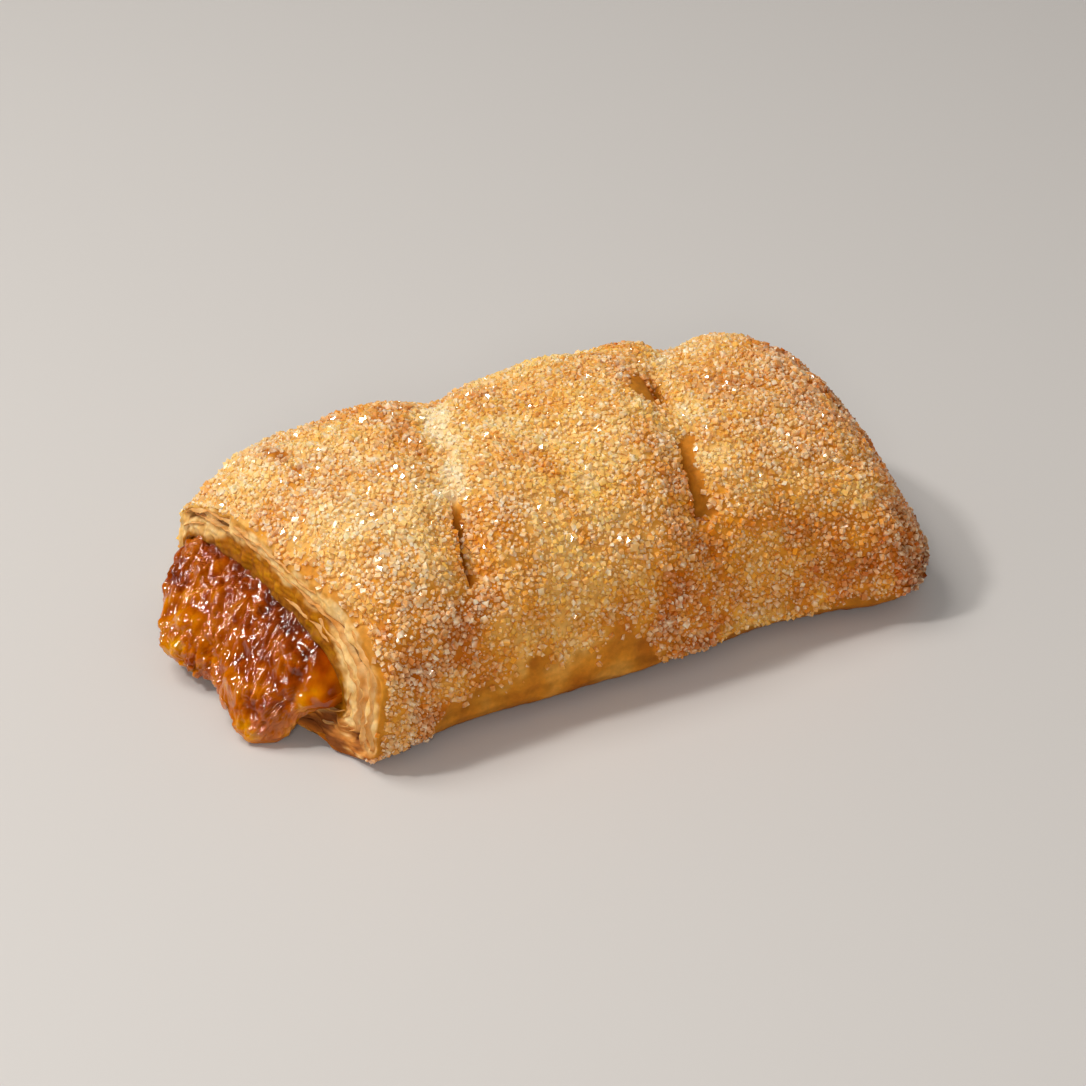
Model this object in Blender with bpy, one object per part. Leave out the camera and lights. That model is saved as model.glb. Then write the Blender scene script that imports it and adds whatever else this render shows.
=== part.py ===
"""Sugared puff pastry turnover with a fruit jelly filling that runs out of its open end.

Frame: +X runs along the pastry from the open mouth to the closed end, -Y is the front,
+Z is up and the plate lies at Z = 0. Shapes are worked out in millimetres and stored in metres.
"""
import math

import bmesh
import bpy
import numpy as np
from mathutils import Matrix, Vector

# Driving dimensions, in millimetres
MM = 0.001
SHIFT = (3.9, 2.2, 0.0)   # moves the middle of the whole object's footprint to the origin
LENGTH = 134.5            # crust, from the mouth's upper lip to the closed end
MOUTH_X = -62.5           # the upper lip
END_SHARE = 0.17          # share of the length that the closed end takes to round off
SIDE_Z = 9.0              # height at which the crust is widest
FLAT = 0.35               # how far the underside is shaved flat
LIP_TOP = 9.4             # dough above the filling at the mouth
DEEP_TOP = 11.6           # and further in
LIP_FRONT = 13.0          # dough in front of it
LIP_BACK = 5.6            # dough behind it
DEEP_WALL = 3.0           # how much thicker the dough's two sides are further in
MOUTH_FLOOR = 8.0         # top of the lower lip
DEEP_FLOOR = 5.0          # the hollow's floor further in
UNDERCUT = 4.6            # how far the lower lip stands off the plate
CAVITY_END = 0.80         # share of the length at which the hollow ends
CAVITY_ROUND = 0.16       # share of the length that it takes to close
GAP = 0.65                # room between the dough and the filling
ROOF_GAP = 4.4            # how far the filling sinks from the ceiling inside
FILL_END = 31.0           # where the filling ends inside
LIP_ROUND = 0.9           # rounding of the lip's two edges
# Flaky ridges across the lip: place between its edges and how far they stand out
LAYERS = ((0.20, 0.35), (0.33, 0.0), (0.46, 0.40), (0.60, 0.0), (0.74, 0.35))
SLANT = 1.5               # the mouth's front side lies this much further in

# Stations along the length: share, crown height, front and back half widths,
# the crown's lean to the back, and the power of the section (one is an ellipse)
STATIONS = np.array([
    (0.00, 29.0, 43.0, 38.0, -2.5, 0.80),
    (0.08, 39.0, 42.0, 38.5, 0.0, 0.80),
    (0.18, 41.5, 40.0, 39.0, 0.0, 0.79),
    (0.29, 42.5, 40.2, 38.5, 0.0, 0.79),
    (0.42, 41.2, 40.9, 38.5, 0.0, 0.79),
    (0.54, 42.8, 40.3, 38.5, 0.0, 0.79),
    (0.68, 41.0, 39.0, 38.5, 0.5, 0.80),
    (0.78, 39.4, 40.4, 38.5, 2.0, 0.84),
    (0.88, 39.0, 44.0, 38.5, 3.5, 0.98),
    (1.00, 38.5, 43.5, 38.0, 5.0, 1.60),
])

# The mouth's edge: angle round the section in degrees, and how far its outer and its
# inner edge reach out (0 is the back, 90 the crown, 180 the front, 270 the underside)
MOUTH_EDGE = np.array([
    (0, -0.6, 0.5), (50, -0.8, 0.5), (90, -1.4, 0.0), (125, -4.0, -0.4), (155, -3.6, -0.7),
    (180, -1.6, -1.0),
    (232, -0.2, 0.0), (250, 2.0, 2.0), (259, 6.3, 6.3), (270, 6.3, 6.3), (290, 4.5, 4.5),
    (312, 2.5, 2.5), (340, 0.2, 1.0), (360, -0.6, 0.5),
])

# The two vents cut across the top: share of the length, depth of the upper nick and
# of the lower groove, the middle of each in degrees, how far the nick lies beside the
# groove's line, how far the dip between the pillows drifts on its way to the back, and
# how wide that dip is towards the closed end
VENTS = (
    (0.300, 2.2, 5.0, 91.0, 127.5, 3.0, 2.0, 6.5),
    (0.684, 3.8, 5.6, 89.0, 128.0, 1.2, 6.0, 12.0),
)
VENT_SLANT = 0.10         # how far a vent runs towards the mouth on its way down
VALLEY = 2.6              # the soft dip between two pillows
VALLEY_LEFT = 5.0         # how wide it is towards the mouth

RINGS = 49
AROUND = 50
CAVITY_RINGS = 10
GRAINS = 170              # large sugar crystals, fused to the crust
GRAIN_SIZE = 1.5
GRAIN_SPACING = 6.0
GRAIN_TRIES = 9000
GRAIN_SEED = 11

# How far the filling's edge runs out of the mouth: across, edge, height of the edge
# and height of its underside
SPILL = np.array([
    (-33.5, -60.5, 11.4, 11.0),
    (-30.5, -63.6, 10.4, 9.2),
    (-28.0, -66.4, 9.4, 7.6),
    (-26.0, -68.9, 8.0, 6.0),
    (-24.6, -71.2, 6.2, 2.6),
    (-23.4, -74.2, 3.6, 0.0),
    (-21.5, -77.0, 2.0, 0.0),
    (-18.5, -77.4, 2.6, 0.3),
    (-16.0, -77.6, 4.2, 2.0),
    (-12.0, -77.6, 5.0, 2.6),
    (-8.0, -76.0, 5.4, 2.6),
    (-3.0, -75.0, 5.0, 2.0),
    (2.0, -78.4, 5.4, 2.2),
    (8.0, -79.8, 7.0, 2.8),
    (15.0, -77.5, 8.2, 3.6),
    (22.0, -73.6, 9.4, 5.2),
    (28.0, -69.8, 10.6, 8.0),
    (33.0, -66.5, 11.4, 10.2),
])
BACK_SAG = 1.2            # how much lower the filling lies at the mouth's back
START_IN = 1.6            # how far inside the lip the filling starts to fall away
SLOPE = 1.5               # one makes its front round, two makes it a straight slope
FILL_SIDE_RINGS = 26
FILL_ROOF = 8
FILL_BULGE = 10
FILL_NOSE = 4
FILL_UNDER = 7


def ease(edge_a, edge_b, value):
    """Smooth step from 0 at edge_a to 1 at edge_b."""
    t = np.clip((value - edge_a) / (edge_b - edge_a), 0.0, 1.0)
    return t * t * (3.0 - 2.0 * t)


def curve_through(table, column, at):
    """Cubic through a table's rows that never overshoots them."""
    x = table[:, 0]
    y = table[:, column]
    h = np.diff(x)
    d = np.diff(y) / h
    m = np.zeros(len(x))
    m[1:-1] = np.where(d[:-1] * d[1:] > 0, 2 * d[:-1] * d[1:] / (d[:-1] + d[1:] + 1e-12), 0)
    m[0] = d[0]
    m[-1] = d[-1]
    at = np.clip(np.asarray(at, float), x[0], x[-1])
    k = np.clip(np.searchsorted(x, at, side="right") - 1, 0, len(h) - 1)
    t = (at - x[k]) / h[k]
    low = (1 + 2 * t) * (1 - t) ** 2 * y[k] + t * (1 - t) ** 2 * h[k] * m[k]
    high = t * t * (3 - 2 * t) * y[k + 1] - t * t * (1 - t) * h[k] * m[k + 1]
    return low + high


def lumps(p, scale, seed):
    """Soft unevenness between -1 and 1 from a few crossed waves."""
    total = np.zeros(p.shape[:-1])
    for k in range(5):
        a = seed + 2.4 * k
        way = np.array([math.cos(a), math.sin(1.7 * a), math.cos(2.3 * a + 1.0)])
        total += np.sin((p @ way) * (1.0 + 0.35 * k) * 2 * math.pi / scale + 5.1 * a)
    return total / 5.0


def mouth_reach(angle, inside):
    """How far the mouth's edge reaches out at an angle round the section."""
    return curve_through(MOUTH_EDGE, 2 if inside else 1, np.degrees(angle) % 360.0)


def hollow(share):
    """Dough above, before and behind the hollow, its widest height and its floor."""
    deep = ease(0.03, 0.16, share)
    more = DEEP_WALL * deep
    floor = MOUTH_FLOOR + (DEEP_FLOOR - MOUTH_FLOOR) * deep
    over = LIP_TOP + (DEEP_TOP - LIP_TOP) * deep
    return over, LIP_FRONT + more, LIP_BACK + more, floor + 3.6, floor


def closing(share, inside):
    """How much the closed end narrows and lowers the section."""
    start = CAVITY_END - CAVITY_ROUND if inside else 1 - END_SHARE
    e = np.clip((share - start) / (CAVITY_ROUND if inside else END_SHARE), 0, 1)
    return np.clip(1 - e ** 4.5, 0, 1) ** (1 / 3.6), np.clip(1 - e ** 2.1, 0, 1) ** (1 / 2.3)


def frame_of(share, inside):
    """The section's height, half widths, lean, power, widest height and floor."""
    high, front, back, lean, power = (curve_through(STATIONS, k, share) for k in range(1, 6))
    if not inside:
        return high, front, back, lean, power, SIDE_Z, 0.0
    over, before, behind, side_z, floor = hollow(share)
    return high - over, front - before, back - behind, 0.0, np.minimum(power, 0.82), side_z, floor


def along_x(share, angle, y, inside):
    """Place along the pastry, with the mouth's slant and its uneven edge."""
    x = MOUTH_X + LENGTH * share + SLANT * np.clip(-y / 40, -1, 1) * (1 - share) ** 2
    return x - mouth_reach(angle, inside) * np.clip(1 - share / 0.14, 0, 1) ** 2


def section(share, angle, inside=False):
    """Point of the outer skin, or of the hollow's skin."""
    c = np.cos(angle)
    n = np.sin(angle)
    high, front, back, lean, power, side_z, floor = frame_of(share, inside)
    narrow, lower = closing(share, inside)
    side = np.where(c < 0, front, back) * narrow
    over = n >= 0
    y_top = np.sign(c) * np.abs(c) ** power * side + lean * narrow * np.abs(n) ** 1.5
    y_bottom = np.sign(c) * np.abs(c) ** 0.32 * side
    z_top = side_z + (high - side_z) * lower * np.abs(n) ** power
    z_bottom = side_z - (side_z - floor + FLAT) * lower * np.abs(n) ** 0.55
    z = np.maximum(np.where(over, z_top, z_bottom), floor)
    y = np.where(over, y_top, y_bottom)
    if not inside:
        turn = np.degrees(angle) % 360.0
        z = z + UNDERCUT * np.clip(1 - share / 0.09, 0, 1) ** 1.5 * ease(246, 259, turn) * ease(335, 300, turn)
    return np.stack(np.broadcast_arrays(along_x(share, angle, y, inside), y, z), -1)


def slanted(share, angle):
    """Leans the rings so that they run along the vents."""
    turn = np.degrees(angle)
    ramp = np.sin(np.clip((turn - 80) / 65, -1, 1) * math.pi / 2)
    ramp = ramp * ease(0, 25, turn) * (1 - ease(165, 215, turn))
    return share - VENT_SLANT * ramp * ease(0.02, 0.27, share) * ease(1.0, 0.73, share)


def vents(share, angle):
    """Depth of the vents and of the valleys that they lie in."""
    turn = np.degrees(angle)
    depth = np.zeros(np.broadcast(share, angle).shape)
    for at, nick, groove, nick_at, groove_at, beside, drift, right in VENTS:
        off = (share - at) * LENGTH
        dip = off - drift * ease(104, 62, turn)
        wide = np.where(dip < 0, VALLEY_LEFT, right)
        valley = np.exp(-(dip / wide) ** 2) * ease(18, 48, turn) * (1 - ease(140, 168, turn))
        across = np.where(off < 0, np.exp(-(off / 1.1) ** 2), np.exp(-np.abs(off / 3.4) ** 1.6))
        along = groove * np.clip(1 - np.abs((turn - groove_at) / 21.0) ** 3, 0, 1)
        spot = nick * np.exp(-((turn - nick_at) / 5.0) ** 2) * np.exp(-((off - beside) / 1.9) ** 2)
        depth = depth + VALLEY * valley + across * along + spot
    return depth


def outer_skin(share0, angle):
    """The crust's outer skin with its pillows, vents and lumps."""
    share = slanted(share0, angle)
    p = section(share, angle)
    step = 0.004
    along = section(np.minimum(share + step, 1.0), angle) - section(share - step, angle)
    around = section(share, angle + 0.03) - section(share, angle - 0.03)
    normal = np.cross(around, along)
    normal = normal / np.maximum(np.linalg.norm(normal, axis=-1, keepdims=True), 1e-9)
    centre = np.stack([p[..., 0], p[..., 1] * 0.3, np.full(p.shape[:-1], 14.0)], -1)
    flip = np.sign(np.sum(normal * (p - centre), axis=-1, keepdims=True))
    normal = normal * np.where(flip == 0, 1, flip)
    free = ease(0.5, 7.0, p[..., 2]) * ease(1.0, 0.95, share)
    push = 0.75 * lumps(p, 26.0, 0.7) + 0.45 * lumps(p, 11.0, 2.9)
    push = push * free - vents(share0, angle)
    q = p + normal * push[..., None]
    q[..., 2] = np.maximum(q[..., 2], 0.0)
    return q


def spread_angles(count):
    """Angles round the section at even steps of arc, with fewer underneath."""
    fine = np.linspace(0, 2 * math.pi, 4001)
    p = section(np.full(fine.shape, 0.5), fine)
    step = np.linalg.norm(np.diff(p, axis=0), axis=1)
    middle = (fine[1:] + fine[:-1]) / 2
    step = step * np.where(middle > math.radians(200), 0.5, 1.0)
    run = np.concatenate([[0], np.cumsum(step)])
    return np.interp(np.linspace(0, run[-1], count, endpoint=False), run, fine)


def spread_shares(count):
    """Ring positions, closer together at the vents, the mouth and the closed end."""
    fine = np.linspace(0, 1, 4001)
    dense = 1.0 + 1.2 * np.exp(-(fine / 0.05) ** 2) + 1.0 * np.exp(-((1 - fine) / 0.10) ** 2)
    for at, *_ in VENTS:
        dense += 3.2 * np.exp(-((fine - at - 0.006) / 0.022) ** 2)
    run = np.concatenate([[0], np.cumsum((dense[1:] + dense[:-1]) / 2)])
    share = np.interp(np.linspace(0, run[-1], count), run, fine)
    e = np.clip((share - (1 - END_SHARE)) / END_SHARE, 0, 1)
    return np.where(share > 1 - END_SHARE, 1 - END_SHARE + END_SHARE * np.sin(e * math.pi / 2), share)


def placed(point):
    """A point's place in metres, with the origin under the object's middle."""
    return tuple((v + s) * MM for v, s in zip(point, SHIFT))


def loft(name, rings, start=None, end=None):
    """One closed mesh from rings with equal counts, closed by a point or a face at each end."""
    bm = bmesh.new()
    rows = [[bm.verts.new(placed(p)) for p in ring] for ring in rings]
    count = len(rows[0])
    for low, high in zip(rows, rows[1:]):
        for j in range(count):
            k = (j + 1) % count
            bm.faces.new((low[j], low[k], high[k], high[j]))
    for row, point, turn in ((rows[0], start, True), (rows[-1], end, False)):
        if point is None:
            bm.faces.new(row[::-1] if turn else row)
            continue
        tip = bm.verts.new(placed(point))
        for j in range(count):
            k = (j + 1) % count
            bm.faces.new((row[k], row[j], tip) if turn else (row[j], row[k], tip))
    bmesh.ops.recalc_face_normals(bm, faces=bm.faces)
    bmesh.ops.triangulate(bm, faces=bm.faces)
    mesh = bpy.data.meshes.new(name)
    bm.to_mesh(mesh)
    bm.free()
    if sum(p.area * p.center.dot(p.normal) for p in mesh.polygons) < 0:
        mesh.flip_normals()
    return mesh


def crust_rings():
    """Rings from the closed end over the outside to the lip, then into the hollow."""
    angles = spread_angles(AROUND)
    shares = spread_shares(RINGS)
    rings = [outer_skin(np.full(angles.shape, s), angles) for s in shares[-2:0:-1]]
    rim = outer_skin(np.zeros(angles.shape), angles)
    inner = section(np.zeros(angles.shape), angles, True)
    across = inner - rim
    wide = np.maximum(np.linalg.norm(across, axis=1, keepdims=True), 1e-6)
    inward = np.array([LIP_ROUND, 0, 0])
    rings.append(rim + inward * 0.9)
    rings.append(rim + across * np.minimum(LIP_ROUND / wide, 0.3))
    for share, proud in LAYERS:
        above = np.clip(4 * np.sin(angles) + 0.6, 0, 1)
        wave = (above * (1 + 0.5 * np.sin(3 * angles + 9 * share)))[:, None]
        rings.append(rim + across * share - np.array([proud, 0, 0]) * wave)
    rings.append(inner - across * np.minimum(LIP_ROUND / wide, 0.3))
    for s in np.linspace(0.08, 1.0, CAVITY_RINGS) ** 1.7 * CAVITY_END * 0.995:
        rings.append(section(np.full(angles.shape, s), angles, True))
    tip_out = outer_skin(np.array(1.0), np.array(math.pi / 2))
    tip_in = section(np.array(CAVITY_END), np.array(math.pi / 2), True)
    return rings, tip_out, tip_in


def cavity_side(x, y, over):
    """Height of the filling's room at a place in the plan: its ceiling, or its floor."""
    x, y = np.broadcast_arrays(np.asarray(x, float), np.asarray(y, float))
    gap = GAP + (ROOF_GAP * ease(-66, -46, x) if over else 1.5 * ease(-56, -40, x))
    share = np.clip((x - MOUTH_X) / LENGTH, 0, CAVITY_END)
    for _ in range(12):
        high, front, back, lean, power, side_z, floor = frame_of(share, True)
        narrow, lower = closing(share, True)
        power = power if over else 0.32
        side = (np.where(y < 0, front, back) - gap) * narrow
        c = np.sign(y) * np.clip(np.abs(y) / np.maximum(side, 1e-6), 0, 1) ** (1 / power)
        n = np.sqrt(np.maximum(1 - c * c, 0))
        angle = np.arctan2(n if over else -n, c)
        off = along_x(share, angle, y, True) - x
        share = np.clip(share - 0.5 * off / LENGTH, 0, CAVITY_END)
    if over:
        return side_z + (high - gap - side_z) * lower * n ** power
    return side_z - (side_z - floor - gap) * np.minimum(lower * n ** 0.55, 1)


def inner_end(y):
    """Where the filling ends inside, across the hollow."""
    shares = np.linspace(0, CAVITY_END, 600)
    frame = frame_of(shares, True)
    side = (np.where(y < 0, frame[1], frame[2]) - 2 * GAP) * closing(shares, True)[0]
    tight = np.nonzero(side < abs(y) + 0.5 + 2.2 * ease(0.02, 0.10, shares))[0]
    last = shares[tight[0]] if len(tight) else CAVITY_END
    far = min(MOUTH_X + LENGTH * last - 4.0, FILL_END - 0.02 * y * y)
    return max(far, MOUTH_X + 5.0)


def lower_lip(y):
    """How far out the lower lip reaches at a place across."""
    reach = []
    for inside in (False, True):
        front, back = frame_of(np.array(0.0), inside)[1:3]
        c = np.sign(y) * np.clip(abs(y) / (front if y < 0 else back), 0, 1) ** (1 / 0.32)
        angle = np.arctan2(-np.sqrt(1 - c * c), c)
        reach.append(float(along_x(np.array(0.0), angle, y, inside)))
    return min(reach)


def filling_profile(y):
    """Closed outline of the filling in the plane at y: ceiling, spill, nose, underside."""
    edge, edge_z, under_z = (float(curve_through(SPILL, k, y)) for k in range(1, 4))
    far = inner_end(y)
    lip = lower_lip(y)
    start = min(MOUTH_X + SLANT * float(np.clip(-y / 40, -1, 1)) + START_IN, far - 1.5)
    x_roof = far + (start - far) * np.linspace(0, 1, FILL_ROOF) ** 0.55
    roof = cavity_side(x_roof, y, True) - BACK_SAG * ease(2, 24, y) * ease(-40, MOUTH_X, x_roof)
    turn = np.linspace(0, math.pi / 2, FILL_BULGE + 1)[1:]
    edge_z = min(edge_z, float(roof[-1]) - 0.4)
    x_bulge = start - (start - edge) * np.sin(turn) ** SLOPE
    z_bulge = edge_z + (roof[-1] - edge_z) * np.cos(turn) ** SLOPE
    place = np.stack([x_bulge, np.full(x_bulge.shape, y), z_bulge], -1)
    loose = np.sin(2 * turn) ** 0.7 * ease(36, 27, abs(y))
    swell = loose * (1.1 * lumps(place, 17.0, 1.3) + 0.7 * lumps(place, 8.0, 4.2))
    x_bulge = x_bulge - 0.5 * swell
    z_bulge = z_bulge + 0.8 * swell
    nose = np.linspace(0, math.pi / 2, FILL_NOSE + 1)[1:]
    deep = min(2.6, 0.5 * (edge_z - under_z) + 1.0)
    x_nose = edge + deep * (1 - np.cos(nose))
    z_nose = edge_z - (edge_z - under_z) * np.sin(nose)
    room = MOUTH_FLOOR + GAP + 0.1
    x_step = max(lip - 1.2, edge + deep + 0.4)
    z_step = max(under_z, 1.8 if x_step < lip - 1.0 else room)
    x_in = np.linspace(max(x_step + 1.2, start + 1.0), far, FILL_UNDER + 1)[:-1]
    low = cavity_side(x_in, y, False)
    top = cavity_side(x_in, y, True)
    low = np.minimum(low, top - 0.3)
    x = np.concatenate([x_roof, x_bulge, x_nose, [x_step - 0.2, x_step], x_in])
    z = np.concatenate([roof, z_bulge, z_nose, [z_step, max(room, z_step)], low])
    return np.stack([x, np.full(x.shape, y), np.maximum(z, 0.0)], -1)


def new_object(name, mesh, look, home):
    """Puts a mesh in the scene with its look."""
    obj = bpy.data.objects.new(name, mesh)
    home.objects.link(obj)
    mesh.materials.clear()
    mesh.materials.append(look)
    return obj


def look(name, colour, rough):
    """A plain Principled material."""
    mat = bpy.data.materials.new(name)
    mat.use_nodes = True
    shader = mat.node_tree.nodes["Principled BSDF"]
    shader.inputs["Base Color"].default_value = (*colour, 1.0)
    shader.inputs["Roughness"].default_value = rough
    shader.inputs["Metallic"].default_value = 0.0
    return mat


def sugar_places():
    """Seeded places on the sugared skin with their directions, spread evenly."""
    rng = np.random.default_rng(GRAIN_SEED)
    share = rng.uniform(0.035, 0.98, GRAIN_TRIES)
    angle = np.interp(rng.uniform(0, AROUND, GRAIN_TRIES), np.arange(AROUND), spread_angles(AROUND))
    p = outer_skin(share, angle)
    along = outer_skin(np.minimum(share + 0.004, 1.0), angle) - outer_skin(share - 0.004, angle)
    around = outer_skin(share, angle + 0.02) - outer_skin(share, angle - 0.02)
    normal = np.cross(along, around)
    normal /= np.maximum(np.linalg.norm(normal, axis=1, keepdims=True), 1e-9)
    normal *= np.sign(np.sum(normal * (p - [0, 0, 14.0]), axis=1, keepdims=True))
    bare = np.where(p[:, 1] < 0, 10.5 + 6.0 * share, 8.0)
    keep = (p[:, 2] > bare) & (normal[:, 2] > -0.2)
    for at, *_ in VENTS:
        off = (share - at) * LENGTH
        turn = np.degrees(angle)
        keep &= ~((off > -2.0) & (off < 6.0) & (turn > 84) & (turn < 156))
    chosen = []
    for k in np.nonzero(keep)[0]:
        if all(np.linalg.norm(p[k] - p[j]) > GRAIN_SPACING for j in chosen):
            chosen.append(k)
        if len(chosen) == GRAINS:
            break
    return p[chosen], normal[chosen]


def drop_scraps(bm):
    """Removes everything that isn't joined to the largest body."""
    left = set(bm.verts)
    bodies = []
    while left:
        body = set()
        stack = [left.pop()]
        while stack:
            vert = stack.pop()
            body.add(vert)
            near = {edge.other_vert(vert) for edge in vert.link_edges} & left
            left -= near
            stack.extend(near)
        bodies.append(body)
    whole = max(bodies, key=len)
    loose = [vert for body in bodies if body is not whole for vert in body]
    bmesh.ops.delete(bm, geom=loose, context="VERTS")


def add_grains(crust, look, home):
    """Large sugar crystals half sunk in the crust, joined to it as one closed body."""
    rng = np.random.default_rng(GRAIN_SEED + 1)
    loose = bpy.data.collections.new("crystals")
    home.children.link(loose)
    for k, (point, normal) in enumerate(zip(*sugar_places(), strict=True)):
        shape = np.array([1.0, rng.uniform(0.7, 1.0), rng.uniform(0.7, 0.9)])
        size = GRAIN_SIZE * rng.uniform(0.85, 1.15) * shape
        tilt = Vector(normal + rng.uniform(-0.25, 0.25, 3)).normalized()
        turn = tilt.to_track_quat("Z", "Y").to_matrix() @ Matrix.Rotation(rng.uniform(0, math.pi), 3, "Z")
        bm = bmesh.new()
        bmesh.ops.create_cube(bm, size=1.0)
        bmesh.ops.scale(bm, vec=Vector(size * MM), verts=bm.verts)
        bmesh.ops.rotate(bm, matrix=turn, verts=bm.verts)
        bmesh.ops.translate(bm, vec=Vector(placed(point + normal * 0.06)), verts=bm.verts)
        bmesh.ops.triangulate(bm, faces=bm.faces)
        mesh = bpy.data.meshes.new("crystal_%03d" % k)
        bm.to_mesh(mesh)
        bm.free()
        new_object("crystal_%03d" % k, mesh, look, loose)
    join = crust.modifiers.new("crystals", "BOOLEAN")
    join.operation = "UNION"
    join.operand_type = "COLLECTION"
    join.collection = loose
    join.solver = "MANIFOLD"
    bpy.context.view_layer.update()
    whole = crust.evaluated_get(bpy.context.evaluated_depsgraph_get())
    mesh = bpy.data.meshes.new_from_object(whole)
    crust.modifiers.clear()
    crust.data = mesh
    mesh.name = "crust"
    for obj in list(loose.objects):
        bpy.data.objects.remove(obj, do_unlink=True)
    bpy.data.collections.remove(loose)
    bm = bmesh.new()
    bm.from_mesh(mesh)
    bmesh.ops.triangulate(bm, faces=bm.faces)
    drop_scraps(bm)
    bm.to_mesh(mesh)
    bm.free()


def main():
    for obj in list(bpy.data.objects):
        bpy.data.objects.remove(obj, do_unlink=True)
    home = bpy.data.collections.new("turnover")
    bpy.context.scene.collection.children.link(home)
    dough = look("baked_dough", (0.62, 0.34, 0.12), 0.75)
    jelly = look("fruit_jelly", (0.48, 0.14, 0.015), 0.2)
    rings, tip_out, tip_in = crust_rings()
    crust = new_object("crust", loft("crust", rings, tip_out, tip_in), dough, home)
    sides = np.linspace(-1, 1, FILL_SIDE_RINGS)
    sides = np.sign(sides) * (1 - (1 - np.abs(sides)) ** 1.25)
    across = np.where(sides < 0, sides * 29.4, sides * 31.0)
    profiles = [filling_profile(y) for y in across]
    new_object("filling", loft("filling", profiles), jelly, home)
    add_grains(crust, dough, home)
    for obj in home.objects:
        obj.data.shade_smooth()
        obj.data.set_sharp_from_angle(angle=math.radians(50))


main()
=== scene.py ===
"""Looks of a sugared puff pastry turnover whose fruit jelly runs out of its open end.

Shapes are worked out in millimetres from the same sizes as the part's solids.
"""
import math
from collections import namedtuple

import bmesh
import bpy
import numpy as np
from mathutils import Matrix, Vector


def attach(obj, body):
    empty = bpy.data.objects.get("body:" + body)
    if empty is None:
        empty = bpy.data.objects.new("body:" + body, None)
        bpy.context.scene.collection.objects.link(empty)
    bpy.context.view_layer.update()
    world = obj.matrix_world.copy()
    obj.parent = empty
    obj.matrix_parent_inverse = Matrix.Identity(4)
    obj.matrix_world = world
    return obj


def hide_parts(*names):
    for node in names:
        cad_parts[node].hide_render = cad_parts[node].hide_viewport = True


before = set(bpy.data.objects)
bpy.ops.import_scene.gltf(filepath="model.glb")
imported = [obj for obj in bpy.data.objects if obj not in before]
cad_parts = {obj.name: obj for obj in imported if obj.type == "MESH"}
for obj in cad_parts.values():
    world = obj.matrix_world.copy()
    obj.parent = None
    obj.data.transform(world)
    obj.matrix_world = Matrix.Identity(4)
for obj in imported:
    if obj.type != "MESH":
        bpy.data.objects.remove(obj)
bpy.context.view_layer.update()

MM = 0.001
SHIFT = (3.9, 2.2, 0.0)   # centres the whole over the origin
LENGTH = 134.5
MOUTH_X = -62.5
END_SHARE = 0.17          # share of the length that the closed end rounds off
SIDE_Z = 9.0              # height at which the section is widest
FLAT = 0.35               # how far the section would reach below Z = 0
SECTION_FOOT = 0.32       # power of the section's lower part, seen in plan

# The dough: its thickness above, before and behind the hollow, and the hollow's floor
LIP_TOP = 9.4
DEEP_TOP = 11.6
LIP_FRONT = 13.0
LIP_BACK = 5.6
DEEP_WALL = 3.0
MOUTH_FLOOR = 8.0
DEEP_FLOOR = 5.0
UNDERCUT = 4.6            # how high the lower lip stands above Z = 0
CAVITY_END = 0.80
CAVITY_ROUND = 0.16
SLANT = 1.5               # how far the mouth's front half stands back

# The filling
GAP = -0.3                # the jelly sticks to the dough, so no gap shows
ROOF_GAP = 3.2
FILL_END = 31.0
BACK_SAG = 0.6
START_IN = 1.5            # how far inside the lip the jelly starts to fall away
SLOPE = 1.5               # one is an ellipse, two a straight slope

# Stations along the length: share, crown height, front and back half widths,
# the crown's lean to the back, and the power of the section
STATIONS = np.array([
    (0.00, 29.0, 43.0, 38.0, -2.5, 0.80),
    (0.08, 39.0, 42.0, 38.5, 0.0, 0.80),
    (0.18, 41.5, 40.0, 39.0, 0.0, 0.79),
    (0.29, 42.5, 40.2, 38.5, 0.0, 0.79),
    (0.42, 41.2, 40.9, 38.5, 0.0, 0.79),
    (0.54, 42.8, 40.3, 38.5, 0.0, 0.79),
    (0.68, 41.0, 39.0, 38.5, 0.5, 0.80),
    (0.78, 39.4, 40.4, 38.5, 2.0, 0.84),
    (0.88, 39.0, 44.0, 38.5, 3.5, 0.98),
    (1.00, 38.5, 43.5, 38.0, 5.0, 1.60),
])

# The mouth's edge: angle round the section in degrees, and how far its outer and its
# inner edge reach out
MOUTH_EDGE = np.array([
    (0, -0.6, 0.5), (50, -0.8, 0.5), (90, -1.4, 0.0), (125, -4.0, -0.4), (155, -3.6, -0.7),
    (180, -1.6, -1.0),
    (232, -0.2, 0.0), (250, 2.0, 2.0), (259, 6.3, 6.3), (270, 6.3, 6.3), (290, 4.5, 4.5),
    (312, 2.5, 2.5), (340, 0.2, 1.0), (360, -0.6, 0.5),
])

# The two vents: share, depth of the upper nick and of the groove, their angles, how far
# the nick lies beside the groove, the valley's drift to the back and its right width
VENTS = (
    (0.300, 2.2, 5.0, 91.0, 127.5, 3.0, 2.0, 6.5),
    (0.684, 3.8, 5.6, 89.0, 128.0, 1.2, 6.0, 12.0),
)
VENT_SLANT = 0.10
VALLEY = 2.6
VALLEY_LEFT = 5.0

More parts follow.
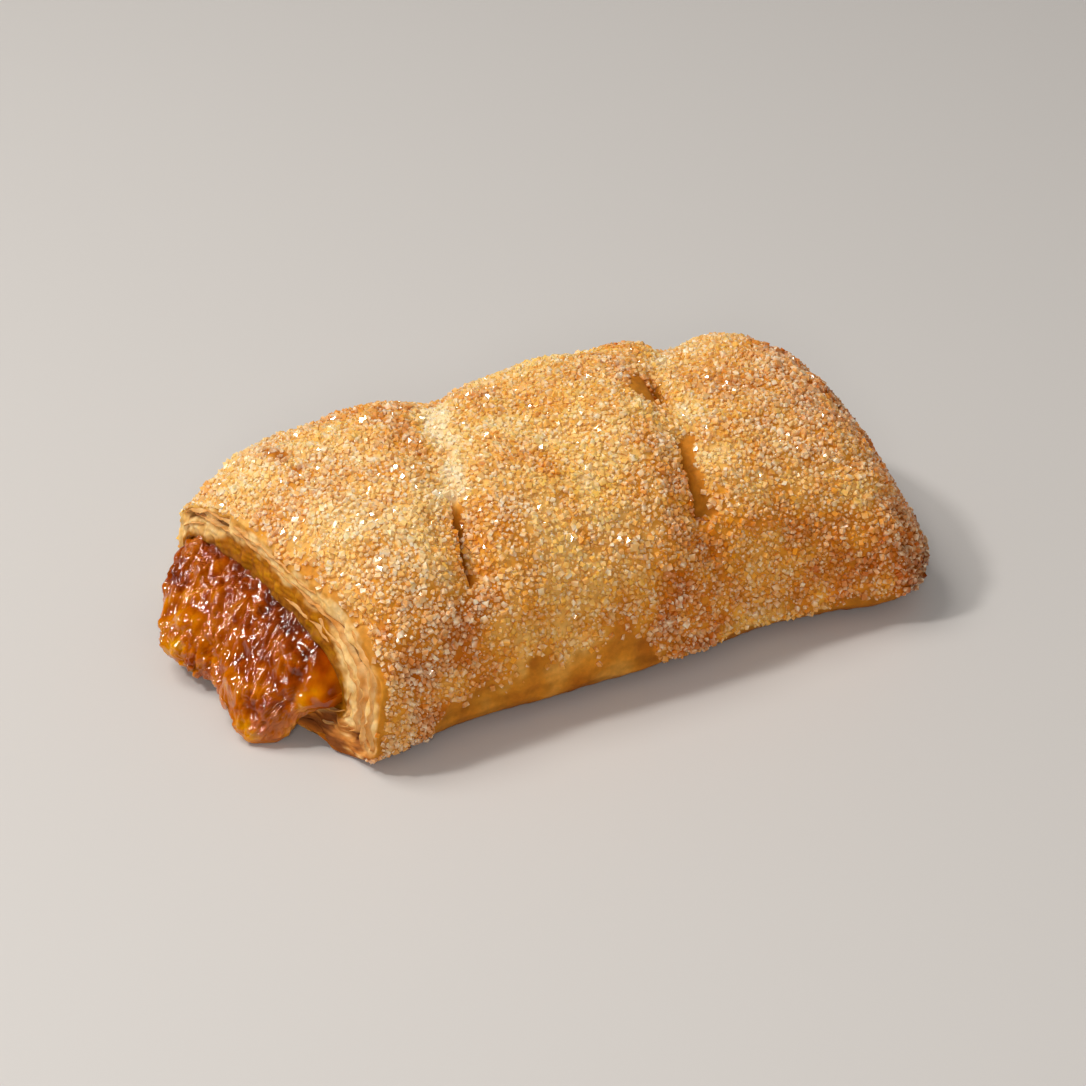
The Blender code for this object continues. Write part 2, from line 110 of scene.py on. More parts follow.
# The filling's edge: across, edge, height of the edge and height of its underside
SPILL = np.array([
    (-33.5, -60.5, 11.4, 11.0),
    (-30.5, -63.6, 10.4, 9.2),
    (-28.0, -66.4, 9.4, 7.6),
    (-26.0, -68.9, 8.0, 6.0),
    (-24.6, -71.2, 6.2, 2.6),
    (-23.4, -74.2, 3.6, 0.0),
    (-21.5, -77.0, 2.0, 0.0),
    (-18.5, -77.4, 2.6, 0.3),
    (-16.0, -77.6, 4.2, 2.0),
    (-12.0, -77.6, 5.0, 2.6),
    (-8.0, -76.0, 5.4, 2.6),
    (-3.0, -75.0, 5.0, 2.0),
    (2.0, -78.4, 5.4, 2.2),
    (8.0, -79.8, 7.0, 2.8),
    (15.0, -77.5, 8.2, 3.6),
    (22.0, -73.6, 9.4, 5.2),
    (28.0, -69.8, 10.6, 8.0),
    (33.0, -66.5, 11.4, 10.2),
])

# Upper edge of the bare strip along the front's foot: share and angle
STRIP = np.array([
    (0.00, 225), (0.09, 215), (0.13, 181), (0.30, 177), (0.42, 176), (0.47, 184), (0.50, 204), (0.58, 206),
    (0.61, 190), (0.65, 194), (0.69, 203), (0.73, 203), (0.76, 191), (0.90, 190), (0.95, 205), (1.00, 225),
])

# Fineness of the meshes
OUTER_RINGS = 262
LIP_RINGS = 30
HOLLOW_RINGS = 14
AROUND = 306
FILL_SIDES = 250
FILL_POINTS = (14, 150, 26, 30)   # ceiling, bulge, nose and underside
LIP_ROUND = 0.9


# Plain helpers

def ease(edge_a, edge_b, value):
    """Smooth step from 0 at edge_a to 1 at edge_b."""
    t = np.clip((value - edge_a) / (edge_b - edge_a), 0.0, 1.0)
    return t * t * (3.0 - 2.0 * t)


def bell(value, centre, width):
    """Bell of height 1 round a centre."""
    return np.exp(-((value - centre) / width) ** 2)


def curve_through(table, column, at):
    """Cubic through a table's rows that never overshoots them."""
    x = table[:, 0]
    y = table[:, column]
    h = np.diff(x)
    d = np.diff(y) / h
    m = np.zeros(len(x))
    m[1:-1] = np.where(d[:-1] * d[1:] > 0, 2 * d[:-1] * d[1:] / (d[:-1] + d[1:] + 1e-12), 0)
    m[0] = d[0]
    m[-1] = d[-1]
    at = np.clip(np.asarray(at, float), x[0], x[-1])
    k = np.clip(np.searchsorted(x, at, side="right") - 1, 0, len(h) - 1)
    t = (at - x[k]) / h[k]
    low = (1 + 2 * t) * (1 - t) ** 2 * y[k] + t * (1 - t) ** 2 * h[k] * m[k]
    high = t * t * (3 - 2 * t) * y[k + 1] - t * t * (1 - t) * h[k] * m[k + 1]
    return low + high


def lumps(p, scale, seed):
    """Soft unevenness between -1 and 1 from a few crossed waves, as in the solids."""
    total = np.zeros(p.shape[:-1])
    for k in range(5):
        a = seed + 2.4 * k
        way = np.array([math.cos(a), math.sin(1.7 * a), math.cos(2.3 * a + 1.0)])
        total += np.sin((p @ way) * (1.0 + 0.35 * k) * 2 * math.pi / scale + 5.1 * a)
    return total / 5.0


WORD = 0xFFFFFFFF          # keeps the mixing of whole numbers to 32 bits


def lattice(cell, seed):
    """A fixed random value from -1 to 1 for each whole-number place."""
    h = cell[..., 0] * 374761393 + cell[..., 1] * 668265263 + cell[..., 2] * 1442695041 + seed * 97409
    h = h & WORD
    h = ((h ^ (h >> 13)) * 1274126177) & WORD
    h = ((h ^ (h >> 16)) * 2246822519) & WORD
    return ((h >> 7) & 0xFFFF) / 32767.5 - 1.0


def noise(p, scale, seed):
    """Smooth random relief from -1 to 1 with bumps of about the given size."""
    q = np.asarray(p, float) / scale
    base = np.floor(q).astype(np.int64)
    t = q - base
    t = t * t * (3 - 2 * t)
    total = np.zeros(q.shape[:-1])
    for corner in np.ndindex(2, 2, 2):
        corner = np.array(corner)
        weight = np.prod(np.where(corner, t, 1 - t), axis=-1)
        total += weight * lattice(base + corner, seed)
    return total


def rough(p, scale, seed, octaves=3):
    """Noise of several sizes, each half as large and half as deep as the last."""
    return sum(noise(p, scale / 2 ** k, seed + 17 * k) / 2 ** k for k in range(octaves)) / 1.6


# The form, as in the solids

def hollow(share):
    """Dough above, before and behind the hollow, its widest height and its floor."""
    deep = ease(0.03, 0.16, share)
    more = DEEP_WALL * deep
    floor = MOUTH_FLOOR + (DEEP_FLOOR - MOUTH_FLOOR) * deep
    over = LIP_TOP + (DEEP_TOP - LIP_TOP) * deep
    return over, LIP_FRONT + more, LIP_BACK + more, floor + 3.6, floor


def closing(share, inside):
    """How much the closed end narrows and lowers the section."""
    start = CAVITY_END - CAVITY_ROUND if inside else 1 - END_SHARE
    e = np.clip((share - start) / (CAVITY_ROUND if inside else END_SHARE), 0, 1)
    return np.clip(1 - e ** 4.5, 0, 1) ** (1 / 3.6), np.clip(1 - e ** 2.1, 0, 1) ** (1 / 2.3)


def frame_of(share, inside):
    """The section's height, half widths, lean, power, widest height and floor."""
    high, front, back, lean, power = (curve_through(STATIONS, k, share) for k in range(1, 6))
    if not inside:
        return high, front, back, lean, power, SIDE_Z, 0.0
    over, before, behind, side_z, floor = hollow(share)
    return high - over, front - before, back - behind, 0.0, np.minimum(power, 0.82), side_z, floor


def along_x(share, angle, y, inside):
    """Place along the pastry, with the mouth's slant and its uneven edge."""
    x = MOUTH_X + LENGTH * share + SLANT * np.clip(-y / 40, -1, 1) * (1 - share) ** 2
    reach = curve_through(MOUTH_EDGE, 2 if inside else 1, np.degrees(angle) % 360.0)
    return x - reach * np.clip(1 - share / 0.14, 0, 1) ** 2


def section(share, angle, inside=False):
    """Point of the outer skin, or of the hollow's skin."""
    c = np.cos(angle)
    n = np.sin(angle)
    high, front, back, lean, power, side_z, floor = frame_of(share, inside)
    narrow, lower = closing(share, inside)
    side = np.where(c < 0, front, back) * narrow
    over = n >= 0
    y_top = np.sign(c) * np.abs(c) ** power * side + lean * narrow * np.abs(n) ** 1.5
    y_bottom = np.sign(c) * np.abs(c) ** SECTION_FOOT * side
    z_top = side_z + (high - side_z) * lower * np.abs(n) ** power
    z_bottom = side_z - (side_z - floor + FLAT) * lower * np.abs(n) ** 0.55
    z = np.maximum(np.where(over, z_top, z_bottom), floor)
    y = np.where(over, y_top, y_bottom)
    if not inside:
        turn = np.degrees(angle) % 360.0
        near_mouth = np.clip(1 - share / 0.09, 0, 1) ** 1.5
        z = z + UNDERCUT * near_mouth * ease(246, 259, turn) * ease(335, 300, turn)
    return np.stack(np.broadcast_arrays(along_x(share, angle, y, inside), y, z), -1)


def slanted(share, angle):
    """Leans the rings so that they run along the vents."""
    turn = np.degrees(angle)
    ramp = np.sin(np.clip((turn - 80) / 65, -1, 1) * math.pi / 2)
    ramp = ramp * ease(0, 25, turn) * (1 - ease(165, 215, turn))
    return share - VENT_SLANT * ramp * ease(0.02, 0.27, share) * ease(1.0, 0.73, share)


# What one vent does at each point: its number, the distance from its crisp edge, the
# groove's strength along it and depth, the nick's strength and depth, the valley's
# strength, and the groove's middle in degrees
Vent = namedtuple("Vent", "number off along groove spot nick valley middle")


def vent_marks(share0, angle, p):
    """Works out each vent's marks at the given points."""
    turn = np.degrees(angle)
    for k, (at, nick, groove, nick_at, groove_at, beside, drift, right) in enumerate(VENTS):
        off = (share0 - at) * LENGTH
        dip = off - drift * ease(104, 62, turn)
        wide = np.where(dip < 0, VALLEY_LEFT, right)
        valley = np.exp(-(dip / wide) ** 2) * ease(18, 48, turn) * (1 - ease(140, 168, turn))
        off = off + 0.35 * noise(p, 2.2, 5 + k)
        along = np.clip(1 - np.abs((turn - groove_at) / 21.0) ** 3, 0, 1)
        spot = bell(turn, nick_at, 4.0) * bell(off, beside, 1.4)
        yield Vent(k, off, along, groove, spot, nick, valley, groove_at)


def outer_skin(share0, angle):
    """The crust's outer skin with its pillows, vents and lumps."""
    share = slanted(share0, angle)
    p = section(share, angle)
    step = 0.004
    along = section(np.minimum(share + step, 1.0), angle) - section(share - step, angle)
    around = section(share, angle + 0.03) - section(share, angle - 0.03)
    normal = np.cross(around, along)
    normal = normal / np.maximum(np.linalg.norm(normal, axis=-1, keepdims=True), 1e-9)
    centre = np.stack([p[..., 0], p[..., 1] * 0.3, np.full(p.shape[:-1], 14.0)], -1)
    flip = np.sign(np.sum(normal * (p - centre), axis=-1, keepdims=True))
    normal = normal * np.where(flip == 0, 1, flip)
    free = ease(0.5, 7.0, p[..., 2]) * ease(1.0, 0.95, share)
    push = (0.75 * lumps(p, 26.0, 0.7) + 0.45 * lumps(p, 11.0, 2.9)) * free
    lean = np.zeros(push.shape)
    turn = np.degrees(angle)
    for vent in vent_marks(share0, angle, p):
        off = vent.off
        across = np.where(off < 0, bell(off, 0, 0.5), np.exp(-np.abs(off / 4.4) ** 1.7))
        slot = bell(off, 0.45, 0.5) * np.clip(1 - ((turn - vent.middle - 5) / 12) ** 2, 0, 1) ** 0.6
        push = push - VALLEY * vent.valley - vent.groove * vent.along * across
        push = push - 1.8 * slot - vent.nick * vent.spot
        # a low swelling beside the groove, whose edge leans over it
        push = push + 0.35 * bell(off, -2.0, 1.5) * vent.along
        lean = lean + 0.9 * bell(off, -0.8, 0.7) * vent.along
    along = along / np.maximum(np.linalg.norm(along, axis=-1, keepdims=True), 1e-9)
    q = p + normal * push[..., None] + along * lean[..., None]
    q[..., 2] = np.maximum(q[..., 2], 0.0)
    return q


def spread_angles(count):
    """Angles round the section at even steps of arc, with fewer underneath."""
    fine = np.linspace(0, 2 * math.pi, 4001)
    p = section(np.full(fine.shape, 0.5), fine)
    step = np.linalg.norm(np.diff(p, axis=0), axis=1)
    middle = (fine[1:] + fine[:-1]) / 2
    step = step * np.where(middle > math.radians(200), 0.4, 1.0)
    run = np.concatenate([[0], np.cumsum(step)])
    return np.interp(np.linspace(0, run[-1], count, endpoint=False), run, fine)


def spread_shares(count):
    """Ring positions, closer together at the vents, the mouth and the closed end."""
    fine = np.linspace(0, 1, 4001)
    dense = 1.0 + 1.2 * np.exp(-(fine / 0.05) ** 2) + 1.0 * np.exp(-((1 - fine) / 0.10) ** 2)
    for at, *_ in VENTS:
        dense += 3.0 * np.exp(-((fine - at - 0.006) / 0.022) ** 2)
    run = np.concatenate([[0], np.cumsum((dense[1:] + dense[:-1]) / 2)])
    share = np.interp(np.linspace(0, run[-1], count), run, fine)
    e = np.clip((share - (1 - END_SHARE)) / END_SHARE, 0, 1)
    return np.where(share > 1 - END_SHARE, 1 - END_SHARE + END_SHARE * np.sin(e * math.pi / 2), share)


# Meshes

def grid_normals(grid):
    """Normals of a grid of points that closes on itself across its second axis."""
    down = np.gradient(grid, axis=0)
    across = np.roll(grid, -1, axis=1) - np.roll(grid, 1, axis=1)
    normal = np.cross(across, down)
    return normal / np.maximum(np.linalg.norm(normal, axis=-1, keepdims=True), 1e-9)


def tube_faces(rows, cols, first_tip, last_tip):
    """Triangles of a tube of rings closed by a point at each end."""
    i = np.arange(rows - 1)[:, None] * cols
    j = np.arange(cols)[None, :]
    k = (j + 1) % cols
    corners = (i + j, i + k, i + cols + k, i + cols + j)
    a, b, c, d = (np.broadcast_to(corner, (rows - 1, cols)).ravel() for corner in corners)
    faces = [np.stack([a, b, c], -1), np.stack([a, c, d], -1)]
    j = np.arange(cols)
    k = (j + 1) % cols
    end = (rows - 1) * cols
    faces.append(np.stack([k, j, np.full(cols, first_tip)], -1))
    faces.append(np.stack([end + j, end + k, np.full(cols, last_tip)], -1))
    return np.concatenate(faces)


def signed_volume(points, faces):
    a, b, c = (points[faces[:, n]] for n in range(3))
    return np.sum(a * np.cross(b, c)) / 6


def piece(name, points, faces, smooth, marks, look, node):
    """A mesh piece of triangles with point values that stands for a node."""
    if signed_volume(points, faces) < 0:
        faces = faces[:, ::-1]
    mesh = bpy.data.meshes.new(name)
    mesh.vertices.add(len(points))
    mesh.vertices.foreach_set("co", ((points + np.array(SHIFT)) * MM).astype(np.float32).ravel())
    mesh.loops.add(faces.size)
    mesh.loops.foreach_set("vertex_index", np.ascontiguousarray(faces, dtype=np.int32).ravel())
    mesh.polygons.add(len(faces))
    mesh.polygons.foreach_set("loop_start", np.arange(0, faces.size, 3, dtype=np.int32))
    mesh.polygons.foreach_set("use_smooth", np.full(len(faces), smooth))
    mesh.update(calc_edges=True)
    for label, values in marks.items():
        values = np.asarray(values, dtype=np.float32)
        if values.ndim == 2:
            values = np.concatenate([values, np.ones((len(values), 1), np.float32)], 1)
            mesh.attributes.new(label, "FLOAT_COLOR", "POINT").data.foreach_set("color", values.ravel())
        else:
            mesh.attributes.new(label, "FLOAT", "POINT").data.foreach_set("value", values)
    mesh.materials.append(look)
    obj = bpy.data.objects.new(name, mesh)
    bpy.context.scene.collection.objects.link(obj)
    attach(obj, "root")
    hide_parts(node)


def linear(*rgb):
    """Linear colour from the usual 0 to 255 values."""
    return [((c / 255 + 0.055) / 1.055) ** 2.4 for c in rgb]


def ramp(value, stops):
    """Colours along a list of (place, linear colour)."""
    places = [s[0] for s in stops]
    return np.stack([np.interp(value, places, [s[1][n] for s in stops]) for n in range(3)], -1)


def blend(first, second, share):
    return first + (second - first) * np.clip(share, 0, 1)[..., None]


# The crust

# Dough under sugar and bare dough, from pale to well browned
BAKED = (
    (0.0, linear(236, 208, 162)),
    (0.25, linear(232, 184, 104)),
    (0.5, linear(216, 146, 46)),
    (0.75, linear(188, 100, 16)),
    (1.0, linear(118, 54, 8)),
)
BARE = (
    (0.0, linear(234, 208, 162)),
    (0.25, linear(222, 166, 78)),
    (0.5, linear(194, 122, 32)),
    (0.75, linear(158, 82, 14)),
    (1.0, linear(92, 40, 6)),
)

# The lip: dry crumb, crumb soaked with jelly, the torn underside, and painted shade for its torn pockets
# and fold
CRUMB = ((0.0, linear(244, 214, 158)), (0.6, linear(226, 178, 104)), (1.0, linear(190, 124, 50)))
SOAKED = ((0.0, linear(202, 138, 4)), (0.5, linear(168, 98, 0)), (1.0, linear(124, 62, 0)))
TORN = ((0.0, linear(240, 198, 132)), (0.3, linear(218, 150, 74)), (0.6, linear(190, 110, 38)),
        (1.0, linear(122, 58, 14)))
FOLD_SHADE = linear(112, 56, 12)

# Fine relief that runs along the pastry near its foot: stretch, size and seed
FLAKES = ([0.12, 1.0, 1.0], 1.3, 98)


def crust_marks(share0, angle, p):
    """Browning with painted shade in the vents' crevices, bareness and sugar cover of the outer skin."""
    share = slanted(share0, angle)
    turn = np.degrees(angle)
    # browned in patches and more towards the closed end, and darker down the front
    bake_and_shade = 0.44 + 0.32 * rough(p, 13.0, 31, 2) + 0.26 * rough(p, 4.5, 41)
    bake_and_shade = bake_and_shade + 0.36 * ease(0.80, 1.0, share) + 0.10 * ease(128, 165, turn)
    bake_and_shade = bake_and_shade - 0.10 * ease(0.30, 0.12, share) * ease(135, 115, turn)
    bake_and_shade = bake_and_shade + 0.22 * ease(0.86, 0.97, share) * ease(16, 6, p[..., 2])
    # the rim of the mouth, with a narrow smooth band in front
    rim = ease(0.035, 0.005, share)
    bake_and_shade = bake_and_shade + 0.04 * rim
    smooth = ease(0.016, 0.008, share + 0.004 * noise(p, 3.0, 58))
    smooth = smooth * ease(92, 120, turn) * ease(215, 196, turn)
    bake_and_shade = bake_and_shade + (0.50 - bake_and_shade) * 0.7 * smooth
    cover = 1.0 + 0.70 * rough(p, 6.5, 53) - 0.6 * rim * ease(-0.3, 0.3, noise(p, 4.0, 57))
    cover = cover * (1 - 0.6 * smooth)
    bare = 0.7 * smooth
    for vent in vent_marks(share0, angle, p):
        off = vent.off
        first = vent.number == 0
        # the bare slope at the right of the groove; painted shade makes the groove darkest down in it
        wide = 4.6 + 0.9 * vent.number
        wide = wide * (1 - (0.45 - 0.35 * vent.number) * ease(98, 124, turn)) + 0.4 * noise(p, 2.0, 60)
        slope = ease(0.15, 0.45, vent.along) * ease(-0.5, 0.1, off) * ease(wide + 0.9, wide - 0.3, off)
        bare = np.maximum(bare, slope)
        bake_and_shade = bake_and_shade + (0.60 - bake_and_shade) * 0.8 * slope
        # painted shade down in the groove's crevice, most towards its lower end
        low = ease(vent.middle - 16, vent.middle + 10, turn)
        bake_and_shade = bake_and_shade + 0.65 * bell(off, 0.5, 1.1) * low * vent.along
        # pale dough above the groove: the first vent's is nearly white and partly bare
        soft = bell(off, 3.0, 4.2) if first else bell(off, 4.4, 3.4)
        soft = soft * ease(58, 74, turn) * (ease(116, 106, turn) if first else ease(114, 100, turn))
        if first:
            bake_and_shade = bake_and_shade - 0.62 * soft
            bare = np.maximum(bare, 0.50 * soft)
        else:
            bake_and_shade = bake_and_shade - 0.25 * soft
            patch = ease(0.15, 0.6, bell(off, -3.0, 3.4) * bell(turn, 90, 4.5))
            bake_and_shade = bake_and_shade + (0.55 - bake_and_shade) * 0.7 * patch
            bare = np.maximum(bare, patch)
        bake_and_shade = bake_and_shade + 0.25 * vent.spot
        bare = np.maximum(bare, vent.spot ** 0.6)
    # a small browned scar near the mouth
    scar = bell(share, 0.088, 0.014) * ease(60, 66, turn) * ease(92, 84, turn)
    scar = scar * ease(-0.5, 0.1, noise(p, 2.0, 59))
    bake_and_shade = bake_and_shade + 0.40 * scar
    bare = np.maximum(bare, 0.9 * scar)
    # the strip without sugar along the front's foot
    edge = np.interp(share, STRIP[:, 0], STRIP[:, 1])
    below = turn - edge + 5.0 * noise(p, 6.0, 61) + 3.0 * noise(p, 2.2, 62)
    strip = ease(-3.0, 4.0, below) * ease(262, 240, turn)
    bare = np.maximum(bare, strip)
    cover = cover * (1 - 0.75 * ease(-14.0, 3.0, below))
    bake_and_shade = bake_and_shade + (0.52 + 0.22 * rough(p, 5.0, 71) - bake_and_shade) * strip * 0.8
    # a well browned patch low on the front, and the edge that the pastry rests on
    patch = bell(share, 0.55, 0.06) * bell(turn, 190, 14)
    bake_and_shade = bake_and_shade + 0.45 * patch
    bake_and_shade = bake_and_shade + 0.28 * ease(4.0, 0.6, p[..., 2])
    underside = ease(205, 235, turn) * ease(356, 340, turn)
    cover = cover * (1 - bare) * ease(0.4, 2.2, p[..., 2]) * (1 - underside)
    return np.clip(bake_and_shade, 0, 1), np.clip(bare, 0, 1), np.clip(cover, 0, 1)


def lip_grid(rim, angles, part):
    """Rings across the lip, from its outer edge inwards, and where its torn pockets and fold lie, which get
    painted shade.
    """
    inner = section(np.zeros(AROUND), angles[0], True)
    across = inner - rim
    wide = np.maximum(np.linalg.norm(across, axis=1, keepdims=True), 1e-6)
    lip = []
    for f in part:
        edge = np.minimum(f, 1 - f) * wide / LIP_ROUND
        proud = LIP_ROUND * np.sqrt(np.clip(1 - (1 - np.clip(edge, 0, 1)) ** 2, 0, 1))
        lip.append(rim + across * f - np.array([1, 0, 0]) * (proud - 0.55))
    lip = np.array(lip)
    part = part[:, None]
    layer = part * wide[:, 0][None, :] + 0.45 * noise(lip, 5.0, 83) + 0.2 * noise(lip, 1.6, 84)
    ridges = 0.10 * np.sin(layer * 2 * math.pi / 1.3) + 0.40 * noise(lip * [1, 0.6, 0.6], 0.9, 85)
    ridges = ridges + 0.35 * noise(lip, 1.7, 89)
    ridges = ridges * ease(0, 0.12, part) * ease(1.0, 0.9, part)
    turn = np.degrees(angles)
    # torn pockets at the upper left, and one long fold down the right
    pocket = bell(part, 0.24 + 0.03 * noise(lip, 3.0, 88), 0.10) * ease(22, 32, turn) * ease(84, 70, turn)
    pocket = pocket * ease(-0.2, 0.1, noise(lip, 3.2, 87))
    fold = bell(part, 0.36 + 0.05 * noise(lip, 7.0, 90), 0.045) * ease(96, 120, turn) * ease(232, 216, turn)
    pocket = np.maximum(pocket, 0.7 * fold)
    craggy = 0.95 * rough(lip, 2.6, 92) * ease(8.5, 6.0, lip[..., 2]) * ease(0, 0.15, part)
    proud = ridges + craggy + 0.35 * noise(lip, 3.0, 86) - 2.4 * pocket
    return lip - np.array([1, 0, 0]) * proud[..., None], pocket


def crust_grid():
    """Rings from the closed end over the outside, across the lip and into the hollow."""
    angles = spread_angles(AROUND)[None, :]
    shares = spread_shares(OUTER_RINGS)[-2::-1][:, None]
    outer = outer_skin(*np.broadcast_arrays(shares, angles))
    bake_and_shade, bare, cover = crust_marks(*np.broadcast_arrays(shares, angles), outer)
    part = np.linspace(0, 1, LIP_RINGS + 2)[1:-1]
    lip, pocket = lip_grid(outer[-1], angles, part)
    inside = np.linspace(0.02, 1.0, HOLLOW_RINGS) ** 1.7 * CAVITY_END * 0.995
    deep = np.array([section(np.full(AROUND, s), angles[0], True) for s in inside])
    grid = np.concatenate([outer, lip, deep])
    # how far across the lip a point lies, from 0 outside to 1 inside
    on_lip = np.broadcast_to(part[:, None], lip.shape[:2])
    inward = np.concatenate([np.zeros(outer.shape[:2]), on_lip, np.ones(deep.shape[:2])])
    pad = np.zeros((len(lip) + len(deep), AROUND))
    last = np.broadcast_to(bake_and_shade[-1], pad.shape)
    bake_and_shade = np.concatenate([bake_and_shade, last])
    bare = np.concatenate([bare, pad + 1])
    cover = np.concatenate([cover, pad])
    normal = grid_normals(grid)
    if np.mean(normal[: len(outer), AROUND // 5, 2]) < 0:
        normal = -normal
    on_skin = (inward == 0) * ease(0.2, 2.0, grid[..., 2])
    crags = 0.34 * rough(grid, 4.2, 91, 2) + 0.16 * noise(grid, 1.5, 93) + 0.08 * noise(grid, 0.8, 95)
    stretch, size, seed = FLAKES
    flaky = noise(grid * stretch, size, seed) + 0.5 * noise(grid * [0.2, 1.0, 1.0], 0.6, 99)
    crags = crags + 0.36 * flaky * ease(12, 8, grid[..., 2])
    blister = 0.5 * ease(0.45, 0.9, noise(grid, 6.5, 97)) * (1 - bare)
    grid = grid + normal * ((crags * (1 - 0.35 * bare) + blister) * on_skin)[..., None]
    grid[..., 2] = np.maximum(grid[..., 2], 0.0)
    # painted shade for the lip's torn pockets and its fold
    fold_shade = np.zeros(inward.shape)
    fold_shade[len(outer):len(outer) + len(lip)] = pocket
    return grid, normal, bake_and_shade, bare, cover, inward, fold_shade


def crust_colours(grid, bake_and_shade, bare, inward, fold_shade, turn):
    """Colour of each point: browning outside with painted shade in the vents' crevices, and on the lip
    crumb and dough steeped in jam, with painted shade deeper in and in the folds.
    """
    skin = blend(ramp(bake_and_shade, BAKED), ramp(bake_and_shade, BARE), bare)
    worn = 0.5 + 0.5 * rough(grid, 1.3, 101, 2)
    stretch, size, seed = FLAKES
    streak = noise(grid * stretch, size, seed) * ease(12, 8, grid[..., 2])
    skin = skin * (0.86 + 0.28 * worn + 0.24 * streak)[..., None]
    wave = inward + 0.16 * noise(grid, 4.4, 103) + 0.08 * noise(grid, 1.2, 104)
    begins = 0.32 + 0.34 * ease(80, 56, turn) + 0.46 * ease(118, 148, turn)
    # painted shade: the soaked crumb darkens further in, towards the hollow
    soaked_and_shade = ramp(worn, SOAKED) * (1 - 0.30 * ease(0.60, 0.95, inward))[..., None]
    lip = blend(ramp(worn, CRUMB), soaked_and_shade, ease(begins - 0.05, begins + 0.15, wave))
    lip = blend(skin * 0.9, lip, ease(0.02, 0.18, wave))
    # the lower lip: soaked on top, torn and unevenly browned below
    low = ease(7.2, 6.0, grid[..., 2] + 1.0 * noise(grid, 2.0, 105)) * ease(-78, -70, grid[..., 0])
    torn = 0.70 + 0.9 * noise(grid, 1.9, 106) + 0.3 * noise(grid, 0.8, 107)
    lip = blend(lip, ramp(torn, TORN), 0.95 * low * ease(0.9, 0.7, inward))
    # painted shade: the torn pockets and the fold darkened
    lip = blend(lip, np.broadcast_to(FOLD_SHADE, lip.shape), 0.9 * fold_shade)
    return blend(skin, lip, (inward > 0) * 1.0)


# Looks

def new_look(name, roughness):
    mat = bpy.data.materials.new(name)
    mat.use_nodes = True
    shader = mat.node_tree.nodes["Principled BSDF"]
    shader.inputs["Roughness"].default_value = roughness
    return mat, shader


def fine_noise(mat, place, scale, detail):
    """A noise texture over the object's own space."""
    grain = mat.node_tree.nodes.new("ShaderNodeTexNoise")
    grain.inputs["Scale"].default_value = scale
    grain.inputs["Detail"].default_value = detail
    mat.node_tree.links.new(place, grain.inputs["Vector"])
    return grain.outputs["Fac"]


def speckled(mat, shader, scale, low, high):
    """Base colour: the point colour times a fine noise between two strengths."""
    nodes = mat.node_tree.nodes
    links = mat.node_tree.links
    tint = nodes.new("ShaderNodeAttribute")
    tint.attribute_name = "tint"
    place = nodes.new("ShaderNodeTexCoord").outputs["Object"]
    reach = nodes.new("ShaderNodeMapRange")
    for key, value in (("From Min", 0.3), ("From Max", 0.7), ("To Min", low), ("To Max", high)):
        reach.inputs[key].default_value = value
    links.new(fine_noise(mat, place, scale, 4.0), reach.inputs["Value"])
    mix = nodes.new("ShaderNodeVectorMath")
    mix.operation = "SCALE"
    links.new(tint.outputs["Color"], mix.inputs[0])
    links.new(reach.outputs["Result"], mix.inputs["Scale"])
    links.new(mix.outputs["Vector"], shader.inputs["Base Color"])
    return place


def bump(mat, shader, place, scale, strength, detail):
    """Fine unevenness of the surface, 0.2 mm deep at full strength."""
    node = mat.node_tree.nodes.new("ShaderNodeBump")
    node.inputs["Strength"].default_value = strength
    node.inputs["Distance"].default_value = 0.2 * MM
    mat.node_tree.links.new(fine_noise(mat, place, scale, detail), node.inputs["Height"])
    mat.node_tree.links.new(node.outputs["Normal"], shader.inputs["Normal"])


def scattering(shader, weight, radius, scale):
    """Light that spreads below the surface, farthest in red."""
    shader.inputs["Subsurface Weight"].default_value = weight
    shader.inputs["Subsurface Radius"].default_value = radius
    shader.inputs["Subsurface Scale"].default_value = scale


def dough_look():
    mat, shader = new_look("baked_dough", 0.6)
    shader.inputs["Specular IOR Level"].default_value = 0.08
    place = speckled(mat, shader, 900.0, 0.86, 1.14)
    scattering(shader, 0.15, (1.0, 0.6, 0.3), 0.0012)
    bump(mat, shader, place, 1400.0, 0.35, 5.0)
    return mat


def jelly_look():
    mat, shader = new_look("fruit_jelly", 0.03)
    shader.inputs["Specular IOR Level"].default_value = 0.6
    place = speckled(mat, shader, 500.0, 0.85, 1.15)
    scattering(shader, 0.25, (1.0, 0.35, 0.08), 0.002)
    bump(mat, shader, place, 900.0, 0.20, 0.0)
    return mat


def sugar_look():
    mat, shader = new_look("sugar_crystals", 0.14)
    shader.inputs["Specular IOR Level"].default_value = 0.5
    speckled(mat, shader, 1500.0, 0.94, 1.06)
    scattering(shader, 0.5, (1.0, 0.75, 0.5), 0.0008)
    return mat


# Torn layers round the mouth

# Each layer: first and last angle in degrees, place across the lip, how far it
# stands out, and how much it curls to the inside
LAYERS = (
    (28, 66, 0.10, 1.0, 0.5),
    (40, 96, 0.30, 0.8, -0.3),
    (20, 48, 0.52, 0.7, 0.3),
    (62, 118, 0.14, 0.6, 0.4),
    (92, 150, 0.34, 0.7, -0.4),
    (128, 196, 0.12, 1.1, 0.6),
    (118, 168, 0.56, 0.6, 0.3),
    (146, 206, 0.30, 1.3, 0.5),
    (158, 214, 0.50, 1.1, 0.4),
    (170, 222, 0.70, 0.8, 0.3),
    (100, 132, 0.72, 0.5, 0.2),
    (198, 232, 0.88, 2.0, 0.3),
    (208, 246, 0.60, 1.3, 0.4),
)
LAYER_STEPS = 110
LAYER_RISE = 6
LAYER_THICK = 0.42
LAYER_ROOT = 0.9          # how deep a layer stands in the lip
LAYER_CRUMB = ((0.0, linear(240, 208, 150)), (1.0, linear(212, 150, 72)))
LAYER_TIP = ((0.0, linear(216, 142, 54)), (1.0, linear(176, 98, 26)))


